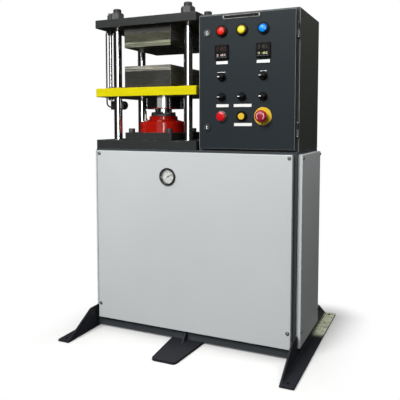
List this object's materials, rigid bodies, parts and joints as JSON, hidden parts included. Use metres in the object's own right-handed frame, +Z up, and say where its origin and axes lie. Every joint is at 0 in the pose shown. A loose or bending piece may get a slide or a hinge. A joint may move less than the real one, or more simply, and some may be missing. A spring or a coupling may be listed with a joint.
{
  "type": "hydraulic compression press",
  "caption": "Floor cabinet with a four-column upstroke moulding press, heated platens, a ram in a flanged cylinder, and a control box with hinged door",
  "frame": {"origin": "on the floor under the middle of the cabinet, which is the middle of the whole footprint", "axes": "+X to the right seen from the front, +Y to the back, +Z up; the front faces -Y"},
  "size_m": [0.872, 0.68, 1.224],
  "materials": {
    "grey_panel": "pale silver grey powder coat",
    "dark_frame": "dark slate powder coat",
    "press_paint": "dark slate enamel on steel plate",
    "box_paint": "dark slate fine texture powder coat",
    "yellow_paint": "bright yellow enamel",
    "red_paint": "glossy red enamel",
    "chromed": "hard chromed and ground",
    "ground_steel": "ground tool steel",
    "dark_steel": "heat darkened steel block",
    "dark_oxide": "black oxide fasteners",
    "zinc": "zinc plated",
    "bronze": "bronze bush",
    "insulation": "dark insulation board",
    "black_plastic": "black moulded plastic",
    "red_plastic": "red moulded plastic",
    "yellow_plastic": "yellow moulded plastic",
    "red_lens": "red lamp lens",
    "yellow_lens": "amber lamp lens",
    "blue_lens": "blue lamp lens",
    "cable_grey": "grey sheathed cable",
    "tank_paint": "blue grey enamel",
    "motor_paint": "painted cast housing",
    "pump_cast": "cast aluminium",
    "switchgear": "grey moulded switchgear"
  },
  "bodies": {
    "cabinet": {"cabinet_frame": "dark_frame", "deck_plates": "dark_frame", "front_panel": "grey_panel", "rear_panel": "grey_panel", "side_panels": "grey_panel", "panel_screws": "zinc", "feet": "dark_frame", "gauge_case": "black_plastic", "oil_tank": "tank_paint", "motor_body": "motor_paint", "pump_body": "pump_cast", "valve_block": "ground_steel", "oil_pipes": "zinc", "base_plate": "press_paint", "columns": "chromed", "press_fasteners": "dark_oxide", "crown_plate": "press_paint", "upper_spacer": "dark_steel", "upper_heater_block": "dark_steel", "upper_platen": "ground_steel", "heaters_upper": "zinc", "cylinder_sole": "press_paint", "cylinder_body": "red_paint", "gland_ring": "dark_oxide", "limit_switch": "black_plastic", "switch_cable": "cable_grey", "cable_fittings": "black_plastic", "rod_bush": "bronze", "box_shell": "box_paint", "electrics": "switchgear", "hinge_pins": "chromed"},
    "bolster": {"bolster_plate": "yellow_paint", "guide_bushes": "bronze", "ram": "chromed", "ram_head": "dark_oxide", "lower_insulation": "insulation", "lower_heater_block": "dark_steel", "lower_platen": "ground_steel", "heaters_lower": "zinc", "stroke_rod": "chromed"},
    "door": {"door": "box_paint", "lamp_red": "red_lens", "lamp_yellow": "yellow_lens", "lamp_blue": "blue_lens", "controllers": "black_plastic", "switch_bodies": "black_plastic", "estop_disc": "yellow_plastic"},
    "selector_1": {"selector_1": "black_plastic"},
    "selector_2": {"selector_2": "black_plastic"},
    "selector_3": {"selector_3": "black_plastic"},
    "selector_4": {"selector_4": "black_plastic"},
    "selector_5": {"selector_5": "black_plastic"},
    "red_button": {"red_button": "red_plastic"},
    "yellow_button": {"yellow_button": "yellow_plastic"},
    "estop_stem": {"estop_stem": "black_plastic"},
    "estop_head": {"estop_head": "red_plastic"},
    "lock_top": {"lock_top": "chromed"},
    "lock_bottom": {"lock_bottom": "chromed"},
    "needle": {"gauge_needle": "black_plastic"},
    "rotor": {"motor_rotor": "dark_steel"}
  },
  "joints": [
    {"name": "ram_lift", "type": "slide", "parent": "cabinet", "child": "bolster", "axis": [0, 0, 1], "range_m": [0, 0.0675]},
    {"name": "door_swing", "type": "hinge", "parent": "cabinet", "child": "door", "pos_m": [0.386, -0.14, 0.93], "axis": [0, 0, 1], "range_deg": [0, 115]},
    {"name": "selector_1_turn", "type": "hinge", "parent": "door", "child": "selector_1", "pos_m": [0.126, -0.15, 0.948], "axis": [0, 1, 0], "range_deg": [0, 90]},
    {"name": "selector_2_turn", "type": "hinge", "parent": "door", "child": "selector_2", "pos_m": [0.273, -0.15, 0.948], "axis": [0, 1, 0], "range_deg": [0, 90]},
    {"name": "selector_3_turn", "type": "hinge", "parent": "door", "child": "selector_3", "pos_m": [0.126, -0.15, 0.88], "axis": [0, 1, 0], "range_deg": [0, 90]},
    {"name": "selector_4_turn", "type": "hinge", "parent": "door", "child": "selector_4", "pos_m": [0.199, -0.15, 0.88], "axis": [0, 1, 0], "range_deg": [0, 90]},
    {"name": "selector_5_turn", "type": "hinge", "parent": "door", "child": "selector_5", "pos_m": [0.273, -0.15, 0.88], "axis": [0, 1, 0], "range_deg": [0, 90]},
    {"name": "red_button_push", "type": "slide", "parent": "door", "child": "red_button", "axis": [0, 1, 0], "range_m": [0, 0.003], "stiffness_N_per_m": 600, "springref_m": -0.001},
    {"name": "yellow_button_push", "type": "slide", "parent": "door", "child": "yellow_button", "axis": [0, 1, 0], "range_m": [0, 0.003], "stiffness_N_per_m": 600, "springref_m": -0.001},
    {"name": "estop_push", "type": "slide", "parent": "door", "child": "estop_stem", "axis": [0, 1, 0], "range_m": [0, 0.005]},
    {"name": "estop_twist", "type": "hinge", "parent": "estop_stem", "child": "estop_head", "pos_m": [0.273, -0.17, 0.814], "axis": [0, 1, 0], "range_deg": [0, 45], "stiffness_Nm_per_rad": 0.03, "springref_deg": -11.46},
    {"name": "lock_top_turn", "type": "hinge", "parent": "door", "child": "lock_top", "pos_m": [0.072, -0.15, 1.098], "axis": [0, 1, 0], "range_deg": [0, 90]},
    {"name": "lock_bottom_turn", "type": "hinge", "parent": "door", "child": "lock_bottom", "pos_m": [0.072, -0.15, 0.777], "axis": [0, 1, 0], "range_deg": [0, 90]},
    {"name": "needle_turn", "type": "hinge", "parent": "cabinet", "child": "needle", "pos_m": [-0.076, -0.166, 0.6], "axis": [0, 1, 0], "range_deg": [-195, 75], "stiffness_Nm_per_rad": 0.01},
    {"name": "rotor_spin", "type": "hinge", "parent": "cabinet", "child": "rotor", "pos_m": [-0.2, 0, 0.392], "axis": [1, 0, 0], "continuous": true}
  ]
}
